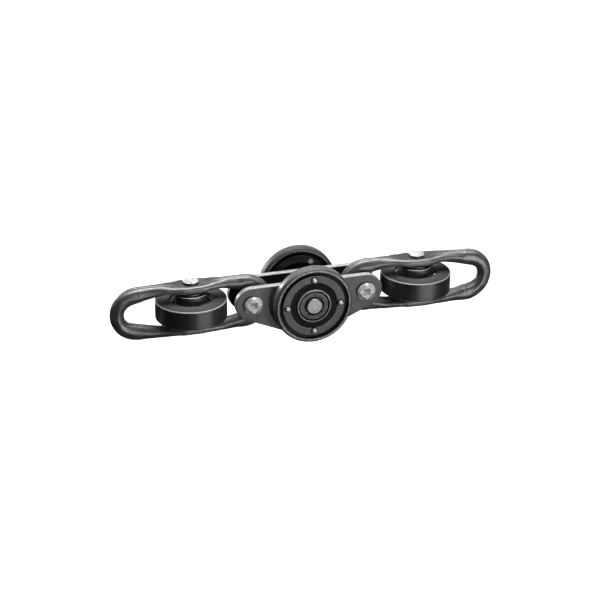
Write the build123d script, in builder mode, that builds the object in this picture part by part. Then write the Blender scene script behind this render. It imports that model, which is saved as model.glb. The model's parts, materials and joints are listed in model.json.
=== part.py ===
from build123d import *
import math
import os

# Bi-planar conveyor chain section: two side plates on a load-wheel axle, a closed
# drop-forged loop link on a cross pin at each end, and a guide wheel inside each loop.
# Frame: origin at the centre of the load-wheel axle, X along the chain,
# Y along the load-wheel axle (-Y is the near side), Z up.  Millimetres.

os.makedirs("parts", exist_ok=True)

# ---------------------------------------------------------------- driving dimensions
GUIDE_X = 100.0          # guide pin from the axle, half of the 200 mm chain pitch
PIN_X = 50.0             # cross pin from the axle
PIN_Z = 2.0              # cross pins stand a little above the axle

PLATE_IN = 8.8           # inner face of a side plate
PLATE_T = 6.0            # side plate thickness
PLATE_OUT = PLATE_IN + PLATE_T
PLATE_END_R = 14.9       # rounded plate end, about the cross pin
PLATE_SLOPE = 23.5       # lower edges fall towards the middle, degrees
PLATE_BOTTOM = -29.0     # flat lowest edge, clear of the rail under the load wheels

AXLE_R = 7.0
AXLE_END = 29.6
BUSH_R = 12.0            # distance bush between the plates
WASHER_R = 10.5          # between plate and load-wheel race

PIN_R = 6.0              # cross pin and guide pin shank
PIN_FIT = 0.05           # running fit of the cross pin in the plates
HEAD_R = 6.9             # staked head of the guide pin
CROSS_HEAD_R = 8.15      # and of the cross pin
HEAD_H = 4.1

LOAD_R = 34.0            # load wheel
LOAD_Y = 22.9            # its centre plane
LOAD_HW = 5.4            # half width
LOAD_BALL_R, LOAD_BALL_PCR, LOAD_BALLS = 2.38, 15.6, 18
LOAD_RIVET_PCR = 23.25
LOAD_RIVET_TURN = {"near": 0.0, "far": 28.0}

GUIDE_R = 30.5           # guide wheel
GUIDE_HW = 8.35
GUIDE_BALL_R, GUIDE_BALL_PCR, GUIDE_BALLS = 2.98, 11.0, 11
GUIDE_RIVET_PCR = 16.4
GUIDE_RECESS_R = 18.2    # turned recess in each face, round the hub

RACE_GAP = 0.05          # ball to raceway

BAR_HW = 6.25            # half thickness of the forged loop along Y
LOOP_OUT = 24.1          # half height of the loop, and radius of its rounded ends
LOOP_ARC_X = 46.0        # centre of a rounded end, from the guide pin
EYE_R = 8.6              # seat for the cross pin, inside each end
EYE_X = 49.2             # its centre, from the guide pin
EYE_SLOPE = 0.25         # the opening widens from the seat towards the guide wheel
FLAT_HALF_W = 10.65      # forged flat around the guide pin
FLAT_IN, FLAT_OUT = 15.6, 22.0

# The cross pins are loose in the loops, so each link lies a little off level:
# the left one lifted, the right one turned about its guide wheel, outer end down.
LINK_LIFT = {"left": 0.4, "right": 0.0}
LINK_DROOP = {"left": 0.0, "right": 1.5}

SIDES = (("near", -1), ("far", 1))
ENDS = (("left", -1), ("right", 1))
LINK_PLACE = {
    label: Location((end * GUIDE_X, 0, LINK_LIFT[label]), (0, LINK_DROOP[label], 0)) * Location((-end * GUIDE_X, 0, 0))
    for label, end in ENDS
}


def hub_plane(side):
    """Plane across a load wheel at its centre, looking outwards from the plates."""
    return Plane(origin=(0, side * LOAD_Y, 0), x_dir=(1, 0, 0), z_dir=(0, side, 0))


def guide_plane(end):
    """Plane across a guide wheel at its centre, looking up."""
    return Plane(origin=(end * GUIDE_X, 0, 0), x_dir=(1, 0, 0), z_dir=(0, 0, 1))


def section(hub):
    """Plane through a wheel's axis: local X is the radius, local Y runs along the axis."""
    return Plane(origin=hub.origin, x_dir=hub.x_dir, z_dir=hub.x_dir.cross(hub.z_dir))


def axis_of(hub):
    return Axis(hub.origin, hub.z_dir)


def mirrored(points):
    """Closes a half profile (t >= 0) with its mirror image (t <= 0)."""
    return points + [(r, -t) for r, t in reversed(points)]


# ---------------------------------------------------------------- side plates
beta = math.radians(PLATE_SLOPE)
end_tangent = (PIN_X + PLATE_END_R * math.sin(beta), PIN_Z - PLATE_END_R * math.cos(beta))
apex_z = end_tangent[1] - math.tan(beta) * end_tangent[0]
corner_x = (PLATE_BOTTOM - apex_z) / math.tan(beta)
end_mid = math.radians(0.5 * (90 + (PLATE_SLOPE - 90)))
top_z = PIN_Z + PLATE_END_R

for label, side in SIDES:
    start = PLATE_IN if side < 0 else -PLATE_OUT
    with BuildPart() as plate:
        with BuildSketch(Plane.XZ.offset(start)):
            with BuildLine():
                Line((-PIN_X, top_z), (PIN_X, top_z))
                ThreePointArc(
                    (PIN_X, top_z),
                    (PIN_X + PLATE_END_R * math.cos(end_mid), PIN_Z + PLATE_END_R * math.sin(end_mid)),
                    end_tangent,
                )
                Polyline(end_tangent, (corner_x, PLATE_BOTTOM), (-corner_x, PLATE_BOTTOM),
                         (-end_tangent[0], end_tangent[1]))
                ThreePointArc(
                    (-end_tangent[0], end_tangent[1]),
                    (-PIN_X - PLATE_END_R * math.cos(end_mid), PIN_Z + PLATE_END_R * math.sin(end_mid)),
                    (-PIN_X, top_z),
                )
            make_face()
        extrude(amount=PLATE_T)
        lower = plate.edges().filter_by(Axis.Y).group_by(Axis.Z)[0]
        fillet(lower, radius=9)
        rims = plate.faces().filter_by(Axis.Y).edges()
        fillet(rims, radius=0.9)
        with BuildSketch(Plane.XZ.offset(start)):
            Circle(AXLE_R)
            with Locations((-PIN_X, PIN_Z), (PIN_X, PIN_Z)):
                Circle(PIN_R + PIN_FIT)
        extrude(amount=PLATE_T, mode=Mode.SUBTRACT)
    plate.part.label = f"side_plate_{label}"
    export_step(plate.part, f"parts/side_plate_{label}.step")

# ---------------------------------------------------------------- load-wheel axle
with BuildPart() as load_axle:
    with BuildSketch(Plane.XZ.offset(-AXLE_END)):
        Circle(AXLE_R)
    extrude(amount=2 * AXLE_END)
    chamfer(load_axle.faces().filter_by(Axis.Y).edges(), length=0.6)
load_axle.part.label = "load_axle"
export_step(load_axle.part, "parts/load_axle.step")

with BuildPart() as distance_bush:
    with BuildSketch(Plane.XZ.offset(-PLATE_IN)):
        Circle(BUSH_R)
        Circle(AXLE_R, mode=Mode.SUBTRACT)
    extrude(amount=2 * PLATE_IN)
distance_bush.part.label = "distance_bush"
export_step(distance_bush.part, "parts/distance_bush.step")

RACE_IN = LOAD_HW + 0.8      # inboard end of the load-wheel inner race, from the wheel's centre plane
RACE_OUT = LOAD_HW - 0.3     # outboard end
for label, side in SIDES:
    with BuildPart() as washer:
        with BuildSketch(Plane(origin=(0, side * PLATE_OUT, 0), x_dir=(1, 0, 0), z_dir=(0, side, 0))):
            Circle(WASHER_R)
            Circle(AXLE_R, mode=Mode.SUBTRACT)
        extrude(amount=LOAD_Y - RACE_IN - PLATE_OUT)
    washer.part.label = f"axle_washer_{label}"
    export_step(washer.part, f"parts/axle_washer_{label}.step")

# ---------------------------------------------------------------- load wheels
# t runs outwards along the axle from the wheel's centre plane
for label, side in SIDES:
    hub = hub_plane(side)
    with BuildPart() as race:
        with BuildSketch(section(hub)):
            with BuildLine():
                Polyline(
                    (AXLE_R, -RACE_IN), (12.0, -RACE_IN), (12.4, -RACE_IN + 0.4), (12.4, -2.1), (13.9, -2.1),
                    (13.9, 2.1), (12.4, 2.1), (12.4, RACE_OUT - 0.4), (12.0, RACE_OUT),
                    (AXLE_R + 1.1, RACE_OUT), (AXLE_R, RACE_OUT - 1.1), close=True,
                )
            make_face()
            with Locations((LOAD_BALL_PCR, 0)):
                Circle(LOAD_BALL_R + RACE_GAP, mode=Mode.SUBTRACT)
        revolve(axis=axis_of(hub))
    race.part.label = f"load_inner_race_{label}"
    export_step(race.part, f"parts/load_inner_race_{label}.step")

    with BuildPart() as balls:
        with Locations(hub):
            with PolarLocations(LOAD_BALL_PCR, LOAD_BALLS, start_angle=5):
                Sphere(LOAD_BALL_R)
    balls.part.label = f"load_balls_{label}"
    export_step(balls.part, f"parts/load_balls_{label}.step")

    with BuildPart() as tread:
        with BuildSketch(section(hub)):
            with BuildLine():
                Polyline(
                    *mirrored([
                        (17.3, 2.4), (19.7, 2.4), (19.7, 3.0), (27.5, 3.0), (27.5, 1.6), (30.6, 1.6),
                        (30.6, LOAD_HW), (LOAD_R, LOAD_HW),
                    ]),
                    close=True,
                )
            make_face()
            with Locations((LOAD_BALL_PCR, 0)):
                Circle(LOAD_BALL_R + RACE_GAP, mode=Mode.SUBTRACT)
        revolve(axis=axis_of(hub))
        rim = tread.edges().filter_by(GeomType.CIRCLE).group_by(lambda e: round(e.radius, 2))[-1]
        fillet(rim, radius=1.7)
        lip = [e for e in tread.edges().filter_by(GeomType.CIRCLE)
               if abs(e.radius - 30.6) < 0.01 and abs(abs(e.center().Y) - LOAD_Y) > LOAD_HW - 0.2]
        chamfer(lip, length=0.45)
        with BuildSketch(hub.offset(-LOAD_HW)):
            with PolarLocations(LOAD_RIVET_PCR, 4, start_angle=LOAD_RIVET_TURN[label]):
                Circle(2.0)
        extrude(amount=2 * LOAD_HW, mode=Mode.SUBTRACT)
    tread.part.label = f"load_tread_{label}"
    export_step(tread.part, f"parts/load_tread_{label}.step")

    for where, sign in (("outer", 1), ("inner", -1)):
        with BuildPart() as cover:
            with BuildSketch(section(hub)):
                with BuildLine():
                    Polyline(
                        *[(r, sign * t) for r, t in (
                            (27.3, 3.0), (27.3, 4.0), (27.0, 4.3), (20.0, 4.3), (19.0, 3.35), (15.5, 3.35),
                            (14.9, 3.9), (14.9, 5.2), (14.5, 5.6), (13.7, 5.6), (13.35, 5.2), (13.35, 2.5),
                            (19.3, 2.5), (19.6, 3.0),
                        )],
                        close=True,
                    )
                make_face()
            revolve(axis=axis_of(hub))
            with BuildSketch(hub.offset(-LOAD_HW)):
                with PolarLocations(LOAD_RIVET_PCR, 4, start_angle=LOAD_RIVET_TURN[label]):
                    Circle(2.0)
            extrude(amount=2 * LOAD_HW, mode=Mode.SUBTRACT)
        cover.part.label = f"load_{where}_cover_{label}"
        export_step(cover.part, f"parts/load_{where}_cover_{label}.step")

    with BuildPart() as rivets:
        with BuildSketch(hub.offset(-4.3)):
            with PolarLocations(LOAD_RIVET_PCR, 4, start_angle=LOAD_RIVET_TURN[label]):
                Circle(2.0)
        extrude(amount=8.6)
        for sign, height in ((1, 2.3), (-1, 1.6)):
            with BuildSketch(hub.offset(4.3 * sign)):
                with PolarLocations(LOAD_RIVET_PCR, 4, start_angle=LOAD_RIVET_TURN[label]):
                    Circle(2.45)
            extrude(amount=height * sign)
        tips = [e for e in rivets.edges().filter_by(GeomType.CIRCLE)
                if abs(e.radius - 2.45) < 0.01 and abs(abs(e.center().Y) - LOAD_Y) > 5.5]
        fillet(tips, radius=0.7)
    rivets.part.label = f"load_rivets_{label}"
    export_step(rivets.part, f"parts/load_rivets_{label}.step")


# ---------------------------------------------------------------- staked pins
# each head is round at its base, and slopes in to a square face, corners up and down on the cross pins
CROSS_CROWN = ((14.6, 5.6), (9.8, 1.1))    # rounded square at the base of the slope, and at the face
GUIDE_CROWN = ((12.3, 4.7), (8.4, 1.0))
HEAD_BASE = 2.4          # round base of the head

for label, end in ENDS:
    with BuildPart() as pin:
        with BuildSketch(Plane.XZ.offset(-PLATE_OUT)):
            with Locations((end * PIN_X, PIN_Z)):
                Circle(PIN_R)
        extrude(amount=2 * PLATE_OUT)
        for side in (-1, 1):
            seat = Plane(origin=(end * PIN_X, side * PLATE_OUT, PIN_Z), x_dir=(1, 0, 0), z_dir=(0, side, 0))
            with BuildSketch(seat):
                Circle(CROSS_HEAD_R)
            extrude(amount=HEAD_BASE)
            for level, (width, corner) in zip((HEAD_BASE, HEAD_H), CROSS_CROWN):
                with BuildSketch(seat.offset(level)):
                    RectangleRounded(width, width, corner, rotation=45)
            loft()
            with BuildSketch(seat.offset(HEAD_H)):
                Rectangle(6.6, 6.6)
            with BuildSketch(seat.offset(HEAD_H - 1.1)):
                Rectangle(0.6, 0.6)
            loft(mode=Mode.SUBTRACT)
    pin.part.label = f"cross_pin_{label}"
    export_step(pin.part, f"parts/cross_pin_{label}.step")

FOOT_R, FOOT_H = 7.0, 0.9    # low round head under the loop
# turn of the staked squares about the vertical, degrees
GUIDE_HEAD_TURN = {"left": 39.0, "right": 47.0}
for label, end in ENDS:
    with BuildPart() as guide_pin:
        with BuildSketch(Plane.XY.offset(-FLAT_OUT)):
            with Locations((end * GUIDE_X, 0)):
                Circle(PIN_R)
        extrude(amount=2 * FLAT_OUT)
        seat = Plane(origin=(end * GUIDE_X, 0, FLAT_OUT), x_dir=(1, 0, 0), z_dir=(0, 0, 1))
        with BuildSketch(seat):
            Circle(HEAD_R)
        extrude(amount=HEAD_BASE)
        for level, (width, corner) in zip((HEAD_BASE, HEAD_H), GUIDE_CROWN):
            with BuildSketch(seat.offset(level)):
                RectangleRounded(width, width, corner, rotation=GUIDE_HEAD_TURN[label])
        loft()
        with BuildSketch(seat.offset(HEAD_H)):
            Rectangle(5.6, 5.6, rotation=GUIDE_HEAD_TURN[label] - 45)
        with BuildSketch(seat.offset(HEAD_H - 0.7)):
            Rectangle(0.6, 0.6, rotation=GUIDE_HEAD_TURN[label] - 45)
        loft(mode=Mode.SUBTRACT)
        with BuildSketch(Plane.XY.offset(-FLAT_OUT - FOOT_H)):
            with Locations((end * GUIDE_X, 0)):
                Circle(FOOT_R)
        extrude(amount=FOOT_H)
        fillet(guide_pin.edges().filter_by(GeomType.CIRCLE).group_by(Axis.Z)[0], radius=0.5)
    with BuildPart() as guide_pin_placed:
        with Locations(LINK_PLACE[label]):
            add(guide_pin.part)
    guide_pin_placed.part.label = f"guide_pin_{label}"
    export_step(guide_pin_placed.part, f"parts/guide_pin_{label}.step")


# ---------------------------------------------------------------- drop-forged loop links
def spread(d):
    """0 on the round bar, 1 at the guide pin: how far the bar is forged into a flat."""
    d = abs(d)
    if d >= 34:
        return 0.0
    if d <= 5:
        return 1.0
    return 0.5 * (1 + math.cos(math.pi * (d - 5) / 29))


STATIONS = (0, 5, 10.5, 16, 19.5, 23, 26.5, 30, 34, 38, 42, LOOP_ARC_X)
STATIONS = tuple(-d for d in reversed(STATIONS[1:])) + STATIONS
EYE_TILT = math.atan(EYE_SLOPE)
EYE_TAN_X = EYE_X + EYE_R * math.sin(EYE_TILT)      # the seat runs into the straight flank here
EYE_TAN_Z = EYE_R * math.cos(EYE_TILT)
FLANK_END = EYE_TAN_X - (FLAT_IN - EYE_TAN_Z) / EYE_SLOPE
SEAT_R = 11.5            # machined seat of the spacers


def opening(d):
    """Half height of the opening inside the loop, |d| from the guide pin."""
    d = abs(d)
    if d <= FLANK_END - 5:
        return FLAT_IN
    if d >= FLANK_END + 5:
        return EYE_TAN_Z + EYE_SLOPE * (EYE_TAN_X - d)
    return FLAT_IN - EYE_SLOPE * (d - FLANK_END + 5) ** 2 / 20


def eye(angle):
    """Distance from the middle of a rounded end to the opening, angle above the X axis."""
    c, k = math.cos(angle), abs(math.sin(angle))
    off = EYE_X - LOOP_ARC_X
    r = off * c + math.sqrt(EYE_R ** 2 - (off * k) ** 2)
    if r * c < EYE_TAN_X - LOOP_ARC_X:
        r = (EYE_TAN_Z + EYE_SLOPE * (EYE_TAN_X - LOOP_ARC_X)) / (k + EYE_SLOPE * c)
    return r


for label, end in ENDS:
    x0 = end * GUIDE_X
    with BuildPart() as link:
        for up in (1, -1):
            for d in STATIONS:
                f = spread(d)
                half_w = BAR_HW + (FLAT_HALF_W - BAR_HW) * f
                low = opening(d)
                high = LOOP_OUT + (FLAT_OUT - LOOP_OUT) * f
                corner = (BAR_HW - 0.06) * (1 - f) + 2.3 * f
                corner = min(corner, 0.5 * (high - low) - 0.06)
                with BuildSketch(Plane.YZ.offset(x0 + d)):
                    with Locations((0, up * 0.5 * (low + high))):
                        RectangleRounded(2 * half_w, high - low, corner)
            loft()
        for out in (1, -1):
            for step in range(13):
                angle = math.radians(90 - 15 * step)
                inner = eye(angle)
                mid = 0.5 * (inner + LOOP_OUT)
                ray = Vector(out * math.cos(angle), 0, math.sin(angle))
                across = Plane(
                    origin=Vector(x0 + out * LOOP_ARC_X, 0, 0) + ray * mid,
                    x_dir=(0, 1, 0),
                    z_dir=Vector(0, 1, 0).cross(ray),
                )
                with BuildSketch(across):
                    corner = min(BAR_HW - 0.06, 0.5 * (LOOP_OUT - inner) - 0.06)
                    RectangleRounded(2 * BAR_HW, LOOP_OUT - inner, corner)
            loft()
        for up in (1, -1):
            with BuildSketch(Plane.XY.offset(up * (FLAT_IN - 4))):
                with Locations((x0, 0)):
                    Circle(SEAT_R)
            extrude(amount=up * 4, mode=Mode.SUBTRACT)
            with BuildSketch(Plane.XY.offset(up * FLAT_OUT)):
                with Locations((x0, 0)):
                    Circle(HEAD_R + 0.6)
            extrude(amount=up * 3, mode=Mode.SUBTRACT)
        with BuildSketch(Plane.XY.offset(-30)):
            with Locations((x0, 0)):
                Circle(PIN_R)
        extrude(amount=60, mode=Mode.SUBTRACT)
    print("link", label, "solids", len(link.part.solids()), "valid", link.part.is_valid,
          "volume", round(link.part.volume), link.part.bounding_box().size)
    with BuildPart() as forged_link:
        with Locations(LINK_PLACE[label]):
            add(link.part)
    forged_link.part.label = f"forged_link_{label}"
    export_step(forged_link.part, f"parts/forged_link_{label}.step")

# ---------------------------------------------------------------- guide wheels
# t runs upwards along the guide pin from the wheel's centre plane
GUIDE_RACE_HALF = 9.5
for label, end in ENDS:
    hub = guide_plane(end)
    rivet_turn = {"left": -6, "right": -27}[label]
    for where, up in (("upper", 1), ("lower", -1)):
        with BuildPart() as spacer:
            with BuildSketch(hub.offset(up * GUIDE_RACE_HALF)):
                Circle(11.0)
                Circle(PIN_R, mode=Mode.SUBTRACT)
            extrude(amount=up * (FLAT_IN - GUIDE_RACE_HALF))
        with BuildPart() as spacer_placed:
            with Locations(LINK_PLACE[label]):
                add(spacer.part)
        spacer_placed.part.label = f"{where}_spacer_{label}"
        export_step(spacer_placed.part, f"parts/{where}_spacer_{label}.step")

    with BuildPart() as race:
        with BuildSketch(section(hub)):
            with Locations((PIN_R, 0)):
                Rectangle(9.4 - PIN_R, 2 * GUIDE_RACE_HALF, align=(Align.MIN, Align.CENTER))
            with Locations((GUIDE_BALL_PCR, 0)):
                Circle(GUIDE_BALL_R + RACE_GAP, mode=Mode.SUBTRACT)
        revolve(axis=axis_of(hub))
    with BuildPart() as race_placed:
        with Locations(LINK_PLACE[label]):
            add(race.part)
    race_placed.part.label = f"guide_inner_race_{label}"
    export_step(race_placed.part, f"parts/guide_inner_race_{label}.step")

    with BuildPart() as balls:
        with Locations(hub):
            with PolarLocations(GUIDE_BALL_PCR, GUIDE_BALLS, start_angle=8):
                Sphere(GUIDE_BALL_R)
    with BuildPart() as balls_placed:
        with Locations(LINK_PLACE[label]):
            add(balls.part)
    balls_placed.part.label = f"guide_balls_{label}"
    export_step(balls_placed.part, f"parts/guide_balls_{label}.step")

    with BuildPart() as tread:
        with BuildSketch(section(hub)):
            with BuildLine():
                Polyline(
                    *mirrored([(12.7, 4.4), (13.3, 5.0), (GUIDE_RECESS_R, 5.0), (GUIDE_RECESS_R, GUIDE_HW),
                               (GUIDE_R, GUIDE_HW)]),
                    close=True,
                )
            make_face()
            with Locations((GUIDE_BALL_PCR, 0)):
                Circle(GUIDE_BALL_R + RACE_GAP, mode=Mode.SUBTRACT)
        revolve(axis=axis_of(hub))
        rim = [e for e in tread.edges().filter_by(GeomType.CIRCLE) if abs(e.radius - GUIDE_R) < 0.01]
        fillet(rim, radius=1.1)
        lip = [e for e in tread.edges().filter_by(GeomType.CIRCLE)
               if abs(e.radius - GUIDE_RECESS_R) < 0.01 and abs(e.center().Z) > GUIDE_HW - 0.1]
        chamfer(lip, length=0.5)
        with BuildSketch(hub.offset(-GUIDE_HW)):
            with PolarLocations(GUIDE_RIVET_PCR, 4, start_angle=rivet_turn):
                Circle(1.3)
        extrude(amount=2 * GUIDE_HW, mode=Mode.SUBTRACT)
    with BuildPart() as tread_placed:
        with Locations(LINK_PLACE[label]):
            add(tread.part)
    tread_placed.part.label = f"guide_tread_{label}"
    export_step(tread_placed.part, f"parts/guide_tread_{label}.step")

    for where, up in (("upper", 1), ("lower", -1)):
        with BuildPart() as cover:
            with BuildSketch(section(hub)):
                with BuildLine():
                    Polyline(
                        *[(r, up * t) for r, t in (
                            (18.0, 5.0), (18.0, 6.1), (14.9, 6.1), (14.3, 6.7), (14.3, 13.5), (13.8, 14.0),
                            (12.9, 14.0), (12.4, 13.5), (12.4, 5.3), (12.7, 5.0),
                        )],
                        close=True,
                    )
                make_face()
            revolve(axis=axis_of(hub))
            with BuildSketch(hub.offset(-GUIDE_HW)):
                with PolarLocations(GUIDE_RIVET_PCR, 4, start_angle=rivet_turn):
                    Circle(1.3)
            extrude(amount=2 * GUIDE_HW, mode=Mode.SUBTRACT)
        with BuildPart() as cover_placed:
            with Locations(LINK_PLACE[label]):
                add(cover.part)
        cover_placed.part.label = f"guide_{where}_cover_{label}"
        export_step(cover_placed.part, f"parts/guide_{where}_cover_{label}.step")

    with BuildPart() as rivets:
        with BuildSketch(hub.offset(-6.1)):
            with PolarLocations(GUIDE_RIVET_PCR, 4, start_angle=rivet_turn):
                Circle(1.3)
        extrude(amount=12.2)
        for up in (1, -1):
            with BuildSketch(hub.offset(6.1 * up)):
                with PolarLocations(GUIDE_RIVET_PCR, 4, start_angle=rivet_turn):
                    Circle(1.5)
            extrude(amount=1.2 * up)
        tips = [e for e in rivets.edges().filter_by(GeomType.CIRCLE)
                if abs(e.radius - 1.5) < 0.01 and abs(abs(e.center().Z) - 7.3) < 0.05]
        fillet(tips, radius=0.5)
    with BuildPart() as rivets_placed:
        with Locations(LINK_PLACE[label]):
            add(rivets.part)
    rivets_placed.part.label = f"guide_rivets_{label}"
    export_step(rivets_placed.part, f"parts/guide_rivets_{label}.step")
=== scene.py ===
import bpy
import bmesh
import json
import math
import numpy as np
from mathutils import Matrix, Vector, noise


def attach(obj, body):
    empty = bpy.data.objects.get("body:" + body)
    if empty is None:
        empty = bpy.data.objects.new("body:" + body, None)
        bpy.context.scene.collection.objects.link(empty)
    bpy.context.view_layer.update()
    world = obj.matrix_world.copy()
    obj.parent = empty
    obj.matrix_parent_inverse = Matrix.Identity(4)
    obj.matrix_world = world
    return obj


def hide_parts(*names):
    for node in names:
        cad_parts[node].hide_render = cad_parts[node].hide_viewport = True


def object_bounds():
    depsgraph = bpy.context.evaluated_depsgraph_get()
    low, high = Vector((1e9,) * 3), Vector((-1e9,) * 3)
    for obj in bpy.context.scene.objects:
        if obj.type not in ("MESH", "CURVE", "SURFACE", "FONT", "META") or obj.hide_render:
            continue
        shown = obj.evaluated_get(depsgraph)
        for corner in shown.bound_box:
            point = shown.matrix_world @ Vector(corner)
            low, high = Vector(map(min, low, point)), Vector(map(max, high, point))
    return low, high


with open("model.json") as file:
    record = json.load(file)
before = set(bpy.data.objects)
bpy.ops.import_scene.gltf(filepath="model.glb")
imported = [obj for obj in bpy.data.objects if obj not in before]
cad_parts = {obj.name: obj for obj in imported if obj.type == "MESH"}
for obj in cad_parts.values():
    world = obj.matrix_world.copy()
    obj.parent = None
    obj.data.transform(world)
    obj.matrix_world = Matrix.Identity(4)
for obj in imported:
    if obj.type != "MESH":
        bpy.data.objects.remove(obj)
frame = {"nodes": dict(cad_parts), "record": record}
cad_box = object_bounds()
nodes = frame["nodes"]
body_of = {n: b for b, ns in frame["record"]["behaviour"]["bodies"].items() for n in ns}
slot_of = {e["node"]: e["material_slot"] for e in frame["record"]["subparts"]}
scene = bpy.context.scene
scene.view_settings.view_transform = "Standard"
scene.view_settings.look = "None"
MM = 0.001


# ---------------------------------------------------------------- materials
def steel(name, base, rough, ior=1.9, metallic=0.0, mottle=0.22, mottle_mm=4.0, grain=0.12, grain_mm=0.5,
          bump=0.012, bump_mm=0.5, lump=0.0, lump_mm=2.5, rough_var=0.06, wear=0.0, wear_base=0.35, cavity=0.6,
          turned=0.0, turned_mm=0.18, wear_metal=0.0, bare=0.0, bare_metal=0.0, dull=0.5, wear_floor=0.6):
    """Procedural steel: mottled colour and roughness, fine bump, lighter edges and darker places from the vertex
    attributes wear (part wear, part painted highlight) and hollow
    (painted shade in hollows and grooves, the black finish of a pin's unstruck sides), turned grooves from the
    attribute turn. bare is the lighter steel on a plate's cut edges, found from the object's own normal."""
    m = bpy.data.materials.new(name)
    m.use_nodes = True
    nt = m.node_tree
    n, l = nt.nodes, nt.links
    bsdf = n["Principled BSDF"]
    bsdf.inputs["IOR"].default_value = ior
    bsdf.inputs["Metallic"].default_value = metallic
    tc = n.new("ShaderNodeTexCoord")

    def noise_tex(mm, detail=3.0, rough_=0.55, vector=None):
        t = n.new("ShaderNodeTexNoise")
        t.inputs["Scale"].default_value = 1000.0 / mm
        t.inputs["Detail"].default_value = detail
        t.inputs["Roughness"].default_value = rough_
        l.new(vector if vector is not None else tc.outputs["Object"], t.inputs["Vector"])
        return t.outputs["Fac"]

    def math_(op, a, b=None, clamp=False):
        k = n.new("ShaderNodeMath")
        k.operation = op
        k.use_clamp = clamp
        for i, v in enumerate((a, b)):
            if v is None:
                continue
            if isinstance(v, (int, float)):
                k.inputs[i].default_value = v
            else:
                l.new(v, k.inputs[i])
        return k.outputs[0]

    def remap(v, lo, hi, a, b, smooth=False):
        k = n.new("ShaderNodeMapRange")
        if smooth:
            k.interpolation_type = "SMOOTHSTEP"
        k.inputs["From Min"].default_value = lo
        k.inputs["From Max"].default_value = hi
        k.inputs["To Min"].default_value = a
        k.inputs["To Max"].default_value = b
        l.new(v, k.inputs["Value"])
        return k.outputs["Result"]

    def attribute(key, out="Fac"):
        k = n.new("ShaderNodeAttribute")
        k.attribute_name = key
        return k.outputs[out]

    big = noise_tex(mottle_mm)
    fine = noise_tex(grain_mm, 4.0, 0.65)
    colour = math_("ADD", remap(big, 0.3, 0.7, base * (1 - mottle), base * (1 + mottle)),
                   remap(fine, 0.3, 0.7, -base * grain, base * grain))
    wear_mask = None
    # lighter edges: part real wear, part painted highlight
    if wear > 0:
        worn_and_lit = math_("MULTIPLY", attribute("wear"), remap(noise_tex(1.6, 3.0, 0.6), 0.36, 0.64, wear_floor, 1.0), clamp=True)
        wear_mask = math_("MULTIPLY", worn_and_lit, wear, clamp=True)
        colour = math_("ADD", colour, math_("MULTIPLY", wear_mask, wear_base))
    metal = []
    if wear > 0 and wear_metal > 0:
        metal.append(math_("MULTIPLY", wear_mask, wear_metal))
    if bare > 0:
        sep = n.new("ShaderNodeSeparateXYZ")
        l.new(tc.outputs["Normal"], sep.inputs[0])
        cut = remap(math_("ABSOLUTE", sep.outputs["Y"]), 0.25, 0.8, 1.0, 0.0, True)
        cut = math_("MULTIPLY", cut, remap(noise_tex(3.5, 3.0, 0.6), 0.35, 0.65, 0.7, 1.0))
        colour = math_("ADD", colour, math_("MULTIPLY", cut, bare))
        if bare_metal > 0:
            metal.append(math_("MULTIPLY", cut, bare_metal))
    if metal:
        total = metal[0] if len(metal) == 1 else math_("ADD", metal[0], metal[1])
        l.new(math_("ADD", total, metallic, clamp=True), bsdf.inputs["Metallic"])
    # darker colour: painted shade in hollows and grooves, and the black finish of a pin's unstruck sides
    if cavity > 0:
        keep = math_("SUBTRACT", 1.0, math_("MULTIPLY", attribute("hollow"), cavity, clamp=True))
        colour = math_("MULTIPLY", colour, keep)
    colour = math_("MAXIMUM", colour, 0.002)
    comb = n.new("ShaderNodeCombineColor")
    for i in range(3):
        l.new(colour, comb.inputs[i])
    l.new(comb.outputs["Color"], bsdf.inputs["Base Color"])

    rough_v = remap(big, 0.3, 0.7, rough - rough_var, rough + rough_var)
    if cavity > 0:
        rough_v = math_("ADD", rough_v, math_("MULTIPLY", attribute("hollow"), dull), clamp=True)
    l.new(rough_v, bsdf.inputs["Roughness"])

    height = math_("MULTIPLY", noise_tex(bump_mm, 4.0, 0.6), bump * MM)
    if lump > 0:
        height = math_("ADD", height, math_("MULTIPLY", noise_tex(lump_mm, 3.0, 0.5), lump * MM))
    if turned > 0:
        v = attribute("turn", "Vector")
        height = math_("ADD", height, math_("MULTIPLY", noise_tex(turned_mm * 1000.0, 2.0, 0.5, v), turned * MM))
    bp = n.new("ShaderNodeBump")
    bp.inputs["Strength"].default_value = 1.0
    bp.inputs["Distance"].default_value = 1.0
    l.new(height, bp.inputs["Height"])
    l.new(bp.outputs["Normal"], bsdf.inputs["Normal"])
    return m


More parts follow.
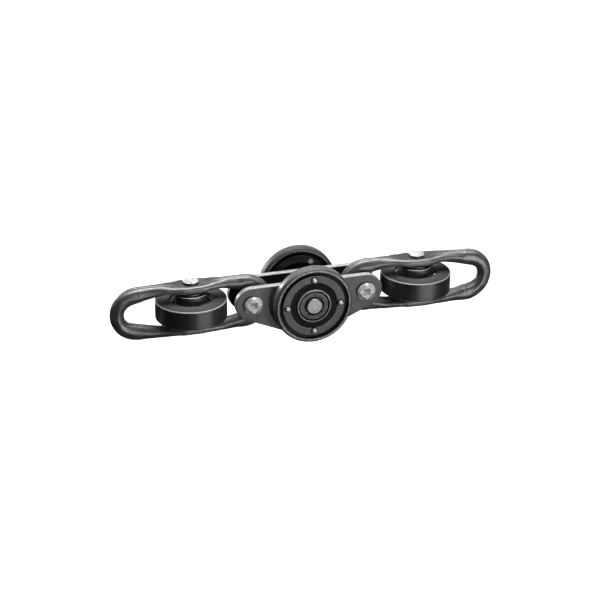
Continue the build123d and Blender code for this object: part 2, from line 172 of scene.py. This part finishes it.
MATS = {
    "forged_black": steel("forged_black", 0.070, 0.40, ior=2.25, mottle=0.30, mottle_mm=5.0, grain=0.20, grain_mm=0.7,
                          bump=0.026, bump_mm=0.7, lump=0.05, lump_mm=2.4, wear=0.9, wear_base=0.20, cavity=0.8,
                          dull=0.25, wear_floor=0.35),
    "plate_black": steel("plate_black", 0.140, 0.36, ior=1.75, mottle=0.10, mottle_mm=7.0, grain=0.07,
                         bump=0.008, bump_mm=0.5, lump=0.010, lump_mm=4.0, bare=0.55, bare_metal=0.3),
    "wheel_black": steel("wheel_black", 0.030, 0.37, ior=2.10, mottle=0.12, grain=0.05, bump=0.003, wear=0.9,
                         wear_base=0.50, turned=0.003, turned_mm=0.30, cavity=0.85),
    "cover_grey": steel("cover_grey", 0.130, 0.34, ior=1.75, mottle=0.12, grain=0.08, bump=0.004, wear=0.9,
                        wear_base=0.42, wear_metal=0.5, turned=0.001, cavity=0.96, dull=0.6),
    "race_grey": steel("race_grey", 0.05, 0.28, ior=1.9, mottle=0.10, grain=0.05, bump=0.003, wear=0.9,
                       wear_base=0.40, wear_metal=0.6, turned=0.001),
    "bright_steel": steel("bright_steel", 0.46, 0.42, metallic=1.0, mottle=0.20, mottle_mm=2.2, grain=0.14,
                          grain_mm=0.5, bump=0.012, bump_mm=0.8, lump=0.02, lump_mm=2.0, cavity=0.97),
    "ball_steel": steel("ball_steel", 0.6, 0.2, metallic=1.0, mottle=0.03, grain=0.02, bump=0.0, cavity=0.0),
    "dark_steel": steel("dark_steel", 0.02, 0.36, ior=1.9, mottle=0.15, bump=0.006),
}
MATS["load_rim_black"] = steel("load_rim_black", 0.120, 0.27, ior=1.95, mottle=0.14, grain=0.06, bump=0.002, wear=0.9,
                               wear_base=0.42, wear_metal=0.5, turned=0.0015, turned_mm=0.30, cavity=0.92, dull=0.6,
                               wear_floor=0.75)
# a darker copy of load_rim_black for the far wheel: a painted shade
MATS["far_rim_painted_shade"] = steel("far_rim_painted_shade", 0.060, 0.40, ior=1.75, mottle=0.14, grain=0.06, bump=0.002, wear=0.9,
                              wear_base=0.20, turned=0.0015, turned_mm=0.30, cavity=0.92, dull=0.6, wear_floor=0.75)
MATS["rivet_steel"] = steel("rivet_steel", 0.72, 0.44, metallic=1.0, mottle=0.16, mottle_mm=1.6, grain=0.10,
                            grain_mm=0.4, bump=0.012, bump_mm=0.6, lump=0.02, lump_mm=1.4, cavity=0.98)
# a darker copy of cover_grey for the covers facing in between the wheels: a painted shade
MATS["inner_cover_painted_shade"] = steel("inner_cover_painted_shade", 0.020, 0.40, ior=1.5, mottle=0.12, grain=0.06, bump=0.004,
                                 wear=0.5, wear_base=0.05, cavity=0.9)
# a near-black copy of plate_black for the far plate, which lies in shade: a painted shade
MATS["far_plate_painted_shade"] = steel("far_plate_painted_shade", 0.016, 0.36, ior=1.5, mottle=0.10, mottle_mm=7.0, grain=0.06,
                                bump=0.008, bump_mm=0.5, lump=0.010, lump_mm=4.0, bare=0.72, bare_metal=0.2)
# near-black base for the guide shields, which sit in shade under the link flats: a painted shade
MATS["guide_shield_painted_shade"] = steel("guide_shield_painted_shade", 0.010, 0.26, ior=2.0, mottle=0.12, grain=0.05, bump=0.003,
                                  wear=0.9, wear_base=0.45, wear_metal=0.5, turned=0.001, cavity=0.95, dull=0.5)
MATS["staked_steel"] = steel("staked_steel", 0.03, 0.37, ior=1.8, mottle=0.10, mottle_mm=2.2, grain=0.10, grain_mm=0.5,
                             bump=0.010, bump_mm=0.8, lump=0.016, lump_mm=2.0, wear=1.0, wear_base=0.97,
                             wear_metal=0.42, cavity=0.25, dull=0.1, wear_floor=0.88)
for name, o in nodes.items():
    o.data.materials.clear()
    o.data.materials.append(MATS["far_plate_painted_shade" if name == "side_plate_far" else slot_of[name]])


# ---------------------------------------------------------------- turned pieces
def rounded(points, radius, closed=True, seg=4, special=None):
    """Profile with every corner rounded: rows of r, t, normal r, normal t, wear,
    hollow; convex corners get a painted highlight with their wear, concave ones a painted shade.
    A closed profile runs round the section; an open one starts and ends on the axis."""
    special = special or {}
    pts = [Vector((float(a), float(b))) for a, b in points]
    k = len(pts)
    area = 0.0
    for i in range(k):
        p, q = pts[i], pts[(i + 1) % k]
        area += p.x * q.y - q.x * p.y
    flip = 1.0 if area > 0 else -1.0

    def out_normal(d):
        return Vector((d.y, -d.x)) * flip

    rows = []
    for i in range(k):
        p = pts[i]
        if not closed and i in (0, k - 1):
            q = pts[1] if i == 0 else pts[k - 2]
            d = (q - p).normalized() if i == 0 else (p - q).normalized()
            nn = out_normal(d)
            rows.append((p.x, p.y, nn.x, nn.y, 0.0, 0.0))
            continue
        a, b = pts[i - 1], pts[(i + 1) % k]
        d1, d2 = p - a, b - p
        l1, l2 = d1.length, d2.length
        d1.normalize(), d2.normalize()
        cross = d1.x * d2.y - d1.y * d2.x
        turn = math.atan2(abs(cross), d1.dot(d2))
        n1, n2 = out_normal(d1), out_normal(d2)
        if turn < 0.02:
            rows.append((p.x, p.y, n1.x, n1.y, 0.0, 0.0))
            continue
        r = special.get(i, radius)
        half = math.tan(turn / 2)
        t = min(r * half, 0.42 * l1, 0.42 * l2)
        r = t / half
        convex = cross * flip > 0
        sgn = 1.0 if convex else -1.0
        start = p - d1 * t
        centre = start - n1 * r * sgn
        m = seg if r > 0.02 else 2
        for j in range(m + 1):
            f = j / m
            w1 = math.sin((1 - f) * turn) / math.sin(turn) if turn < 3.0 else 1 - f
            w2 = math.sin(f * turn) / math.sin(turn) if turn < 3.0 else f
            nn = (n1 * w1 + n2 * w2).normalized()
            q = centre + nn * r * sgn
            # convex corners lighter, part wear, part painted highlight; concave corners darker, a painted shade
            edge = math.sin(math.pi * f)
            rows.append((q.x, q.y, nn.x, nn.y, edge if convex else 0.0, 0.0 if convex else 1.0))
    return rows, flip


def hub(origin, z):
    z = Vector(z)
    x = Vector((1, 0, 0))
    y = z.cross(x)
    return Matrix(((x.x, y.x, z.x, origin[0]), (x.y, y.y, z.y, origin[1]), (x.z, y.z, z.z, origin[2]), (0, 0, 0, 1)))


class Build:
    """Collects vertices, faces, normals and attributes of one shown piece, in millimetres."""

    def __init__(self):
        self.co, self.no, self.faces, self.wear, self.hollow, self.turn = [], [], [], [], [], []
        self.n = 0
        self.tone = None

    def lathe(self, matrix, points, radius, closed=True, seg=4, steps=160, special=None, sign=1, centre=(0.0, 0.0)):
        """sign -1 mirrors the profile's t. centre moves the axis of the lathe within the hub plane."""
        pts = [(r, t * sign) for r, t in points]
        rows, flip = rounded(pts, radius, closed, seg, special)
        rot = matrix.to_3x3()
        org = matrix.translation
        base = self.n
        angles = [2 * math.pi * j / steps for j in range(steps)]
        index = []
        for r, t, nr, nt_, w, h in rows:
            if self.tone:
                w, h = self.tone(r, t * sign, w, h)
            if r < 1e-6:
                self.co.append(tuple(org + rot @ Vector((centre[0], centre[1], t))))
                self.no.append(tuple(rot @ Vector((0, 0, math.copysign(1, nt_) if nt_ else 1))))
                self.wear.append(0.0), self.hollow.append(0.0), self.turn.append((0.0, t, 0.0))
                index.append([self.n] * steps)
                self.n += 1
                continue
            ring = []
            for a in angles:
                c, s = math.cos(a), math.sin(a)
                self.co.append(tuple(org + rot @ Vector((centre[0] + r * c, centre[1] + r * s, t))))
                self.no.append(tuple(rot @ Vector((nr * c, nr * s, nt_))))
                self.wear.append(w), self.hollow.append(h), self.turn.append((r, t, 0.6 * c))
                ring.append(self.n)
                self.n += 1
            index.append(ring)
        count = len(rows)
        handed = flip > 0
        for i in range(count if closed else count - 1):
            a_, b_ = index[i], index[(i + 1) % count]
            for j in range(steps):
                k = (j + 1) % steps
                f = [a_[j], a_[k], b_[k], b_[j]] if handed else [a_[j], b_[j], b_[k], a_[k]]
                g = []
                for v in f:
                    if v not in g:
                        g.append(v)
                if len(g) > 2:
                    self.faces.append(g)
        return self

    def object(self, name):
        me = bpy.data.meshes.new(name)
        me.from_pydata([(x * MM, y * MM, z * MM) for x, y, z in self.co], [], self.faces)
        me.polygons.foreach_set("use_smooth", [True] * len(me.polygons))
        for key, values in (("wear", self.wear), ("hollow", self.hollow)):
            at = me.attributes.new(key, "FLOAT", "POINT")
            at.data.foreach_set("value", np.array(values, np.float32))
        at = me.attributes.new("turn", "FLOAT_VECTOR", "POINT")
        at.data.foreach_set("vector", np.array(self.turn, np.float32).ravel())
        me.update()
        me.normals_split_custom_set_from_vertices(self.no)
        o = bpy.data.objects.new(name, me)
        scene.collection.objects.link(o)
        return o


def show(o, node, mat=None):
    """o stands for the CAD node."""
    slot = slot_of[node]
    o.data.materials.clear()
    o.data.materials.append(MATS[mat or slot])
    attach(o, body_of[node])
    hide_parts(node)
    return o


LOAD_Y, LOAD_R, LOAD_HW = 22.9, 34.0, 5.4
GUIDE_R, GUIDE_HW = 30.5, 8.35
FLAT_OUT = 22.0
# the left link stands 0.4 mm high, and the right link leans 1.5 degrees about its guide wheel
PLACE = {
    "left": Matrix.Translation((0, 0, 0.4)),
    "right": Matrix.Translation((100, 0, 0)) @ Matrix.Rotation(math.radians(1.5), 4, "Y") @ Matrix.Translation((-100, 0, 0)),
}
for side_name, side in (("near", -1), ("far", 1)):
    m = hub((0, side * LOAD_Y, 0), (0, side, 0))
    half = [(17.3, 2.4), (19.7, 2.4), (19.7, 3.0), (27.5, 3.0), (27.5, 1.6), (30.6, 1.6), (30.6, LOAD_HW),
            (32.25, LOAD_HW), (32.5, LOAD_HW - 0.6), (32.95, LOAD_HW - 0.6), (LOAD_R, LOAD_HW - 1.9),
            (LOAD_R, LOAD_HW - 3.4)]
    profile = half + [(r, -t) for r, t in reversed(half)]
    special = {5: 1.0, 6: 0.5, 7: 0.5, 8: 0.15, 9: 0.8, 10: 1.6}
    special.update({2 * len(half) - 1 - i: v for i, v in list(special.items())})
    b = Build()
    # bright bead round each face, a painted highlight; black in the groove, on the step and on the shoulders, a painted
    # shade; the tread lighter, part rolling wear, part painted highlight
    b.tone = lambda r, t, w, h: (
        (1.0, 0.0) if 30.7 < r < 32.2 and abs(t) > LOAD_HW - 0.3 else
        (0.0, 1.0) if r <= 30.65 and abs(t) < LOAD_HW - 0.45 else
        (0.0, 0.8) if 32.3 < r < 32.9 and abs(t) > LOAD_HW - 1.2 else
        (0.45, 0.0) if r > 33.9 and abs(t) < LOAD_HW - 3.3 else (0.0, 0.45) if r > 32.9 else (w * 0.3, h))
    b.lathe(m, profile, 0.22, special=special, steps=224)
    show(b.object(f"load_wheel_rim_{side_name}"), f"load_tread_{side_name}",
         "load_rim_black" if side < 0 else "far_rim_painted_shade")
    for where, sign in (("outer", 1), ("inner", -1)):
        profile = [(27.3, 3.0), (27.3, 3.9), (26.9, 4.3), (21.4, 4.3), (20.9, 4.25), (20.5, 3.9), (19.2, 3.25), (15.5, 3.25),
                   (14.9, 3.8), (14.9, 5.1), (14.45, 5.6), (13.75, 5.6), (13.35, 5.2), (13.35, 2.5), (19.0, 2.5), (19.6, 3.0)]
        b = Build()
        # recess floor, hub bore and groove floor darkened, a painted shade; hub lip lightened, a painted highlight
        b.tone = lambda r, t, w, h: (
            (0.0, 1.0) if r < 20.6 and t < 4.2 and r > 14.8 else
            (1.0, 0.0) if r < 14.95 and t > 5.0 and r > 13.7 else
            (0.0, 1.0) if r < 13.6 or (r > 27.2 and t < 3.95) else (w * 0.5, h))
        b.lathe(m, profile, 0.22, sign=sign, steps=192, special={6: 0.6})
        show(b.object(f"load_wheel_{where}_shield_{side_name}"), f"load_{where}_cover_{side_name}",
             "cover_grey" if where == "outer" else "inner_cover_painted_shade")
    b = Build()
    turn = {"near": 0.0, "far": 28.0}[side_name]
    for k in range(4):
        a = math.radians(turn + 90 * k)
        c = (23.25 * math.cos(a), 23.25 * math.sin(a))
        b.lathe(m, [(0, -5.85), (1.2, -5.75), (2.4, -5.2), (2.4, -4.32), (1.95, -4.3), (1.95, 4.3), (2.42, 4.32),
                    (2.42, 5.7), (1.9, 6.3), (1.0, 6.52), (0, 6.56)],
                0.3, closed=False, steps=40, centre=c, special={7: 0.7, 8: 0.9})
        # a thin black ring round each rivet head: a painted shade for the shadow the head casts on the cover
        b.tone = lambda r, t, w, h: (0.0, 1.0)
        b.lathe(m, [(2.35, 4.25), (3.1, 4.25), (3.0, 4.42), (2.35, 4.42)], 0.05, steps=40, centre=c)
        b.tone = None
    show(b.object(f"load_wheel_rivets_{side_name}"), f"load_rivets_{side_name}", "rivet_steel")
    b = Build()
    # race's outer top edge lightened, a painted highlight; bore groove and hidden inner part darkened, a painted shade
    b.tone = lambda r, t, w, h: (0.5, 0.0) if r > 11.7 and t > 4.6 else (0.0, 1.0 if r < 8.4 or t < 4.0 else 0.0)
    b.lathe(m, [(7.02, -6.2), (12.0, -6.2), (12.4, -5.8), (12.4, 4.7), (12.0, 5.1), (8.5, 5.1), (8.3, 4.9),
                (8.3, 2.8), (7.02, 2.8)], 0.2, steps=128)
    show(b.object(f"load_wheel_inner_race_{side_name}"), f"load_inner_race_{side_name}")
    b = Build().lathe(hub((0, 0, 0), (0, side, 0)), [(7.02, 14.8), (10.5, 14.8), (10.5, LOAD_Y - 6.2), (7.02, LOAD_Y - 6.2)],
                      0.2, steps=96)
    show(b.object(f"axle_spacer_washer_{side_name}"), f"axle_washer_{side_name}")
b = Build().lathe(hub((0, 0, 0), (0, -1, 0)), [(0, -29.6), (6.3, -29.6), (7.0, -28.9), (7.0, 28.9), (6.3, 29.6), (0, 29.6)],
                  0.35, closed=False, steps=96)
show(b.object("axle_shaft"), "load_axle")

for end_name, end in (("left", -1), ("right", 1)):
    m = PLACE[end_name] @ hub((end * 100.0, 0, 0), (0, 0, 1))
    half = [(12.7, 4.4), (13.3, 5.0), (18.2, 5.0), (18.2, GUIDE_HW), (28.0, GUIDE_HW), (GUIDE_R, GUIDE_HW)]
    profile = half + [(r, -t) for r, t in reversed(half)]
    special = {3: 0.5, 5: 1.05}
    special.update({2 * len(half) - 1 - i: v for i, v in list(special.items())})
    b = Build()
    # rim edges lightened, part wear, part painted highlight; inner faces and recess edge darkened, a painted shade
    b.tone = lambda r, t, w, h: (w, 0.0) if r > 28.1 else (w * 0.5, 1.0 if abs(t) < 7.6 else 0.55 if r < 20 else 0.0)
    b.lathe(m, profile, 0.25, special=special, steps=224, seg=6)
    show(b.object(f"guide_wheel_rim_{end_name}"), f"guide_tread_{end_name}")
    for where, sign in (("upper", 1), ("lower", -1)):
        profile = [(18.0, 5.0), (18.0, 6.1), (14.9, 6.1), (14.3, 6.7), (14.3, 13.5), (13.8, 14.0), (12.9, 14.0),
                   (12.4, 13.5), (12.4, 5.3), (12.7, 5.0)]
        b = Build()
        # collar's top lip lightened, a painted highlight; flange and collar darkened, a painted shade
        b.tone = lambda r, t, w, h: (1.0, 0.0) if 12.7 < r < 14.0 and t > 13.6 else (0.0, 1.0 if t < 7.5 else 0.3)
        b.lathe(m, profile, 0.25, sign=sign, steps=160, special={4: 0.6, 5: 0.6})
        show(b.object(f"guide_wheel_{where}_shield_{end_name}"), f"guide_{where}_cover_{end_name}", "guide_shield_painted_shade")
    b = Build()
    turn = {"left": -6.0, "right": -27.0}[end_name]
    for k in range(4):
        a = math.radians(turn + 90 * k)
        c = (16.4 * math.cos(a), 16.4 * math.sin(a))
        b.lathe(m, [(0, -7.3), (0.9, -7.1), (1.5, -6.6), (1.5, -6.12), (1.25, -6.1), (1.25, 6.1), (1.5, 6.12), (1.5, 6.6),
                    (0.9, 7.1), (0, 7.3)], 0.3, closed=False, steps=32, centre=c)
    show(b.object(f"guide_wheel_rivets_{end_name}"), f"guide_rivets_{end_name}", "rivet_steel")
    for where, sign in (("upper", 1), ("lower", -1)):
        b = Build().lathe(m, [(6.02, 9.5), (11.0, 9.5), (11.0, 15.6), (6.02, 15.6)], 0.3, sign=sign, steps=96)
        show(b.object(f"guide_pin_{where}_sleeve_{end_name}"), f"{where}_spacer_{end_name}")


# ---------------------------------------------------------------- forged and staked pieces
def fresh(node, voxel, name):
    """A closed, evenly meshed copy of a CAD node's shape, in millimetres: object, points, normals."""
    src = nodes[node]
    me = src.data.copy()
    bm = bmesh.new()
    bm.from_mesh(me)
    bmesh.ops.remove_doubles(bm, verts=bm.verts, dist=2e-6)
    bm.to_mesh(me)
    bm.free()
    tmp = bpy.data.objects.new(name + "_src", me)
    scene.collection.objects.link(tmp)
    mod = tmp.modifiers.new("even", "REMESH")
    mod.mode = "VOXEL"
    mod.voxel_size = voxel * MM
    mod.use_smooth_shade = True
    deps = bpy.context.evaluated_depsgraph_get()
    out = bpy.data.meshes.new_from_object(tmp.evaluated_get(deps), depsgraph=deps)
    bpy.data.objects.remove(tmp)
    out.name = name
    for key in [a.name for a in out.attributes if a.name.startswith("custom_normal")]:
        out.attributes.remove(out.attributes[key])
    o = bpy.data.objects.new(name, out)
    scene.collection.objects.link(o)
    n = len(out.vertices)
    co = np.empty(n * 3, np.float32)
    out.vertices.foreach_get("co", co)
    no = np.empty(n * 3, np.float32)
    out.vertices.foreach_get("normal", no)
    return o, co.reshape(-1, 3).astype(float) * 1000, no.reshape(-1, 3).astype(float)


def unplaced(co, no, end_name):
    """The same points and normals in the frame of a level link."""
    inv = np.array(PLACE[end_name].inverted())
    return co @ inv[:3, :3].T + inv[:3, 3], no @ inv[:3, :3].T


def put(o, co, wear, hollow):
    me = o.data
    me.vertices.foreach_set("co", (co * MM).astype(np.float32).ravel())
    for key, values in (("wear", wear), ("hollow", hollow)):
        at = me.attributes.new(key, "FLOAT", "POINT")
        at.data.foreach_set("value", values.astype(np.float32))
    me.polygons.foreach_set("use_smooth", [True] * len(me.polygons))
    me.update()


def proud(o, co, rounds):
    """How far each point stands out of its smoothed surroundings, in millimetres: convex edges are positive."""
    me = o.data
    me.vertices.foreach_set("co", (co * MM).astype(np.float32).ravel())
    me.update()
    no = np.empty(len(me.vertices) * 3, np.float32)
    me.vertices.foreach_get("normal", no)
    ends = np.empty(len(me.edges) * 2, np.int32)
    me.edges.foreach_get("vertices", ends)
    a, b = ends[0::2], ends[1::2]
    n = len(co)
    count = np.bincount(a, minlength=n) + np.bincount(b, minlength=n)
    p = co.copy()
    for _ in range(rounds):
        total = np.stack([np.bincount(a, p[b, k], n) + np.bincount(b, p[a, k], n) for k in range(3)], 1)
        p = 0.4 * p + 0.6 * total / count[:, None]
    return ((co - p) * no.reshape(-1, 3)).sum(1)


def field(points, size, seed, octaves=1):
    """Smooth noise, about -1 to 1, at points in millimetres."""
    out = np.zeros(len(points))
    amp = 1.0
    for k in range(octaves):
        s = 1.0 / (size / 2 ** k)
        off = Vector((seed * 17.3 + k * 5.1, seed * 7.7 - k * 3.3, seed * 3.9 + k * 9.2))
        p = points * s
        out += amp * np.array([noise.noise(Vector(v) + off) for v in p.tolist()])
        amp *= 0.5
    return out


def smooth(a, b, x):
    t = np.clip((x - a) / (b - a), 0, 1)
    return t * t * (3 - 2 * t)


LOOP_OUT, LOOP_ARC_X, EYE_R, EYE_X, EYE_SLOPE, FLAT_IN = 24.1, 46.0, 8.6, 49.2, 0.25, 15.6
TILT = math.atan(EYE_SLOPE)
TAN_X, TAN_Z = EYE_X + EYE_R * math.sin(TILT), EYE_R * math.cos(TILT)


def loop_coordinates(co, x0):
    """d along X from the guide pin, outward distance from the middle line of the bar, and s along the loop."""
    d = co[:, 0] - x0
    z = co[:, 2]
    ad, az = np.abs(d), np.abs(z)
    flank = np.minimum(TAN_Z + EYE_SLOPE * (TAN_X - ad), FLAT_IN)
    f = np.where(ad <= 5, 1.0, np.where(ad >= 34, 0.0, 0.5 * (1 + np.cos(np.pi * (np.clip(ad, 5, 34) - 5) / 29))))
    high = LOOP_OUT + (FLAT_OUT - LOOP_OUT) * f
    mid_bar = 0.5 * (flank + high)
    u_bar = az - mid_bar
    cx = ad - LOOP_ARC_X
    rad = np.hypot(cx, z)
    ang = np.arctan2(az, np.maximum(cx, 1e-6))
    c, k = np.cos(ang), np.sin(ang)
    off = EYE_X - LOOP_ARC_X
    eye = off * c + np.sqrt(np.maximum(EYE_R ** 2 - (off * k) ** 2, 1e-6))
    alt = (TAN_Z + EYE_SLOPE * (TAN_X - LOOP_ARC_X)) / (k + EYE_SLOPE * c)
    eye = np.where(eye * c < TAN_X - LOOP_ARC_X, alt, eye)
    u_end = rad - 0.5 * (eye + LOOP_OUT)
    u = np.where(cx > 0, u_end, u_bar)
    s = np.where(cx > 0, LOOP_ARC_X + (math.pi / 2 - ang) * 18.0, ad)
    return d, u, s, f


for end_name, end in (("left", -1), ("right", 1)):
    node = f"forged_link_{end_name}"
    seed = 3 if end < 0 else 11
    o, co, no = fresh(node, 0.42, f"forged_loop_{end_name}")
    x0 = end * 100.0
    lc, ln = unplaced(co, no, end_name)
    d, u, s, f = loop_coordinates(lc, x0)
    y = lc[:, 1]
    n1 = field(lc, 16.0, seed)
    n2 = field(lc, 7.0, seed + 1)
    n3 = field(lc, 3.0, seed + 2)
    n4 = field(lc, 1.3, seed + 3)
    away = np.hypot(d, y)
    on_seat = 1 - smooth(12.0, 15.5, away)
    bar = 1 - smooth(0.15, 0.7, f)
    # lumps left by the dies
    cut = 0.30 + 0.34 * n1 + 0.20 * n2 + 0.10 * n3 + 0.035 * n4
    # hammered facets along the bar
    alpha = np.arctan2(y, u)
    facet = 0.5 + 0.5 * np.cos(6 * alpha + 1.6 * n1 * 2 + 0.5)
    cut += bar * 0.26 * facet
    # trimmed flash on the parting plane, outside and inside of the loop
    edge = 1.75 + 0.55 * n2
    land = (1 - smooth(edge - 0.35, edge + 0.35, np.abs(y))) * smooth(2.0, 4.0, np.abs(u))
    cut = cut * (1 - 0.75 * land) + bar * 0.0
    groove = np.exp(-((np.abs(y) - edge - 0.35) / 0.45) ** 2) * smooth(2.0, 4.0, np.abs(u)) * bar
    cut += 0.12 * groove
    cut = np.clip(cut, 0.03, 0.95)
    cut = cut * (1 - on_seat) + 0.02 * on_seat + on_seat * 0.06 * (0.5 + n3 * 0.5)
    bore = away < 6.5
    cut[bore] = 0
    if end > 0:
        # a nick across the lower bar
        cut += 0.45 * np.exp(-((co[:, 0] - 146.2) / 0.4) ** 2) * (y < -2.0) * (co[:, 2] < -9.0) * (co[:, 2] > -16.5)
    new = co - no * cut[:, None]
    out = proud(o, new, 10)
    # convex edges and flash lands lighter, part wear, part painted highlight, plus random lighter patches; concave
    # creases and the flash groove darker, a painted shade
    wear = np.clip(1.0 * smooth(0.015, 0.10, out) + 0.15 * land * bar + 0.2 * smooth(0.1, 0.5, n3) * bar, 0, 1)
    hollow = np.clip(smooth(0.015, 0.09, -out) * 0.8 + 0.3 * groove, 0, 1)
    put(o, new, wear, hollow)
    show(o, node)

for kind in ("cross_pin", "guide_pin"):
    for end_name, end in (("left", -1), ("right", 1)):
        node = f"{kind}_{end_name}"
        o, co, no = fresh(node, 0.2, f"staked_{kind}_{end_name}")
        seed = 31 + (2 if end > 0 else 0) + (5 if kind == "guide_pin" else 0)
        k = 14.8 if kind == "cross_pin" else FLAT_OUT
        lc, ln = (co, no) if kind == "cross_pin" else unplaced(co, no, end_name)
        axis = 1 if kind == "cross_pin" else 2
        t = np.abs(lc[:, axis])
        head = smooth(k + 1.0, k + 1.6, t)
        n1, n2, n3 = field(lc, 3.2, seed), field(lc, 1.5, seed + 1), field(lc, 0.7, seed + 2)
        cut = head * np.clip(0.06 + 0.07 * n1 + 0.035 * n2 + 0.012 * n3, 0.0, 0.5)
        new = co - no * cut[:, None]
        # the sides of the head stay black, the struck face is bright
        face = np.abs(ln[:, axis])
        out = proud(o, new, 6)
        struck = head * smooth(0.25, 0.6, face)
        # struck face bare and bright; its raised facets lighter still and its dents darker, part wear, part painted
        # highlight
        wear = struck * np.clip(0.88 + 3.0 * np.clip(out, -0.06, 0.09), 0, 1)
        put(o, new, wear, 1 - struck)
        show(o, node, "staked_steel")

# ---------------------------------------------------------------- floor
# low enough that the links clear it when they hang at their joint limits
floor_z = cad_box[0].z - 0.110
me = bpy.data.meshes.new("floor")
S = 12.0
me.from_pydata([(-S, -S, floor_z), (S, -S, floor_z), (S, S, floor_z), (-S, S, floor_z)], [], [(0, 1, 2, 3)])
floor = bpy.data.objects.new("floor", me)
scene.collection.objects.link(floor)
fm = bpy.data.materials.new("floor_pale")
fm.use_nodes = True
fb = fm.node_tree.nodes["Principled BSDF"]
fb.inputs["Base Color"].default_value = (0.5, 0.5, 0.5, 1)
fb.inputs["Roughness"].default_value = 0.9
fb.inputs["Specular IOR Level"].default_value = 0.0
fb.inputs["Emission Color"].default_value = (1, 1, 1, 1)
fb.inputs["Emission Strength"].default_value = 0.93
me.materials.append(fm)
floor.visible_glossy = False
floor.visible_diffuse = False
floor.visible_shadow = False

# ---------------------------------------------------------------- camera
AZ, EL, ROLL = math.radians(-16.85), math.radians(24.40), math.radians(-0.03)
DIST, FOCAL_PX = 1.8, 2104.9
SHIFT_X, SHIFT_Y = -4.71 / 600, -7.01 / 600
right = Vector((math.cos(AZ), math.sin(AZ), 0))
back = Vector((math.sin(AZ) * math.cos(EL), -math.cos(AZ) * math.cos(EL), math.sin(EL)))
up = back.cross(right)
right, up = (right * math.cos(ROLL) + up * math.sin(ROLL), up * math.cos(ROLL) - right * math.sin(ROLL))
cam_data = bpy.data.cameras.new("camera")
cam_data.sensor_width = 36.0
cam_data.lens = FOCAL_PX / 600 * 36.0
cam_data.shift_x, cam_data.shift_y = SHIFT_X, SHIFT_Y
cam_data.clip_start, cam_data.clip_end = 0.05, 60
cam = bpy.data.objects.new("camera", cam_data)
scene.collection.objects.link(cam)
cam.matrix_world = Matrix((
    (right.x, up.x, back.x, DIST * back.x),
    (right.y, up.y, back.y, DIST * back.y),
    (right.z, up.z, back.z, DIST * back.z),
    (0, 0, 0, 1)))
scene.camera = cam


# ---------------------------------------------------------------- light
def softbox(name, az, el, size, power, dist=1.3):
    """az degrees to the right of the camera's side, el degrees up."""
    a, e = math.radians(az), math.radians(el)
    front = Vector((math.sin(AZ), -math.cos(AZ), 0))
    side = Vector((math.cos(AZ), math.sin(AZ), 0))
    d = (front * math.cos(a) + side * math.sin(a)) * math.cos(e) + Vector((0, 0, math.sin(e)))
    ld = bpy.data.lights.new(name, "AREA")
    ld.shape = "DISK"
    ld.size = size
    ld.energy = power
    lo = bpy.data.objects.new(name, ld)
    scene.collection.objects.link(lo)
    lo.location = d * dist
    lo.rotation_euler = d.to_track_quat("Z", "Y").to_euler()
    lo.visible_camera = False
    return lo


for spec in (
    ("key_a", 27, -10, 0.30, 1.9),
    ("key_b", 50, -9, 0.19, 2.9),
    ("overhead", 0, 90, 0.62, 4.6),
    ("overhead_a", 120, 72, 0.62, 3.6),
    ("overhead_b", 60, 72, 0.62, 2.6),
    ("overhead_c", 180, 72, 0.62, 3.4),
    ("overhead_d", 240, 72, 0.62, 2.4),
    ("overhead_e", 300, 72, 0.62, 1.5),
    ("overhead_f", 0, 72, 0.62, 0.9),
    ("back_a", 108, 50, 0.62, 1.5),
    ("back_b", 72, 50, 0.62, 1.2),
    ("back_c", 144, 50, 0.62, 1.2),
    ("back_d", 190, 50, 0.62, 1.1),
    ("back_e", 252, 50, 0.62, 0.7),
    ("back_f", 288, 50, 0.62, 0.6),
    ("left_back", 235, 20, 0.50, 1.7),
    ("left_low", 228, 5, 0.34, 2.2),
    ("far_low", 180, -14, 0.62, 1.6),
):
    softbox(*spec)
world = bpy.data.worlds.new("world")
scene.world = world
world.use_nodes = True
world.node_tree.nodes["Background"].inputs["Color"].default_value = (1, 1, 1, 1)
world.node_tree.nodes["Background"].inputs["Strength"].default_value = 0.006
